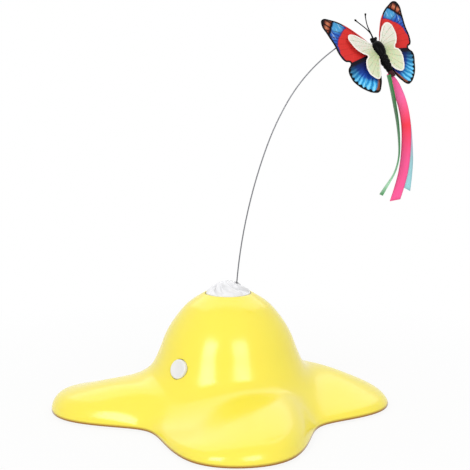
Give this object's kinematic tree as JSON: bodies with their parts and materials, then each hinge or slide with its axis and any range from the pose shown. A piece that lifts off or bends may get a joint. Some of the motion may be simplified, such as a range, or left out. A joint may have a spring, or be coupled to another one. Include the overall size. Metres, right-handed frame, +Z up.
{
  "type": "electric butterfly cat toy",
  "caption": "Battery cat toy: a domed shell with rounded arms, a geared motor inside and a turning cap that swings a butterfly with ribbons on a spring wire.",
  "frame": {"origin": "on the floor, on the dome's axis, which is the rotor's axis", "axes": "+Z up; the four arms lie along +X, +Y, -X and -Y; the button faces -X -Y; the wire leans towards +X at rest"},
  "size_m": [0.2328, 0.2197, 0.2574],
  "materials": {
    "shell_yellow": "glossy moulded ABS, bright yellow",
    "cover_yellow": "fine matt moulded ABS, yellow",
    "white_plastic": "glossy moulded ABS, white",
    "soft_pad": "matt black rubber",
    "screw_steel": "zinc-plated steel",
    "cell_can": "printed metal can with a bright end",
    "contact_steel": "nickel-plated spring steel",
    "gearbox_plastic": "off-white acetal",
    "gear_plastic": "natural white acetal",
    "bush_brass": "sintered bronze bush",
    "motor_steel": "zinc-plated steel can",
    "motor_cap_white": "white nylon",
    "axle_steel": "ground steel",
    "spring_steel": "bare spring steel wire",
    "switch_black": "black nylon",
    "board_green": "green glass-fibre board",
    "body_black": "black moulded plastic, satin",
    "wing_print": "printed film, black edged, blue and red",
    "wing_cream": "printed film, cream with veins",
    "ribbon_pink": "satin ribbon, pink",
    "ribbon_green": "satin ribbon, green",
    "ribbon_blue": "satin ribbon, pale blue",
    "binding_thread": "wound thread, dark red",
    "lead_red": "PVC insulation, red",
    "lead_black": "PVC insulation, black"
  },
  "bodies": {
    "stand": {"upper_shell": "shell_yellow", "base_plate": "cover_yellow", "foot_pads": "soft_pad", "base_screws": "screw_steel", "aa_cell_1": "cell_can", "aa_cell_2": "cell_can", "aa_cell_3": "cell_can", "contact_plus": "contact_steel", "contact_minus": "contact_steel", "contact_bridge_left": "contact_steel", "contact_bridge_right": "contact_steel", "gearbox_base": "gearbox_plastic", "gearbox_lid": "gearbox_plastic", "gearbox_screws": "screw_steel", "lower_bush": "bush_brass", "upper_bush": "bush_brass", "motor_can": "motor_steel", "motor_end_cap": "motor_cap_white", "motor_terminals": "bush_brass", "motor_screws": "screw_steel", "first_axle": "axle_steel", "second_axle": "axle_steel", "switch_body": "switch_black", "switch_board": "board_green", "board_screws": "screw_steel", "battery_lead_red": "lead_red", "switch_lead_red": "lead_red", "battery_lead_black": "lead_black"},
    "rotor": {"output_gear": "gear_plastic", "rotor_shaft": "axle_steel", "shaft_clip": "contact_steel", "rotor_hub": "gear_plastic", "rotor_cap": "white_plastic"},
    "second_gear": {"second_gear": "gear_plastic"},
    "first_gear": {"first_gear": "gear_plastic"},
    "motor_rotor": {"motor_shaft": "axle_steel", "motor_pinion": "gear_plastic"},
    "flyer": {"spring_wire": "spring_steel", "butterfly_body": "body_black", "outer_wings": "wing_print", "inner_wings": "wing_cream", "antennae": "body_black", "ribbon_pink": "ribbon_pink", "ribbon_blue": "ribbon_blue", "ribbon_green": "ribbon_green", "ribbon_binding": "binding_thread"},
    "button": {"power_button": "white_plastic", "switch_plunger": "gear_plastic"},
    "door": {"battery_door": "cover_yellow", "door_screws": "screw_steel"}
  },
  "joints": [
    {"name": "rotor_spin", "type": "hinge", "parent": "stand", "child": "rotor", "pos_m": [0, 0, 0], "axis": [0, 0, 1], "continuous": true},
    {"name": "second_gear_spin", "type": "hinge", "parent": "stand", "child": "second_gear", "pos_m": [0.01256, 0, 0.05], "axis": [0, 0, 1], "continuous": true},
    {"name": "first_gear_spin", "type": "hinge", "parent": "stand", "child": "first_gear", "pos_m": [0.01256, 0.01256, 0.05], "axis": [0, 0, 1], "continuous": true},
    {"name": "motor_spin", "type": "hinge", "parent": "stand", "child": "motor_rotor", "pos_m": [0, 0.01256, 0.05], "axis": [0, 0, 1], "continuous": true},
    {"name": "wire_pull", "type": "slide", "parent": "rotor", "child": "flyer", "axis": [0.0785, 0, 0.9969], "range_m": [0, 0.0135]},
    {"name": "button_press", "type": "slide", "parent": "stand", "child": "button", "axis": [0.6645, 0.6645, -0.342], "range_m": [0, 0.0015], "stiffness_N_per_m": 200, "springref_m": -0.0005},
    {"name": "door_lift", "type": "slide", "parent": "stand", "child": "door", "axis": [0, 0, -1], "range_m": [0, 0.012]}
  ],
  "couplings": [
    {"joint": "second_gear_spin", "follows": "rotor_spin", "ratio": -4},
    {"joint": "first_gear_spin", "follows": "rotor_spin", "ratio": 16},
    {"joint": "motor_spin", "follows": "rotor_spin", "ratio": -64}
  ]
}
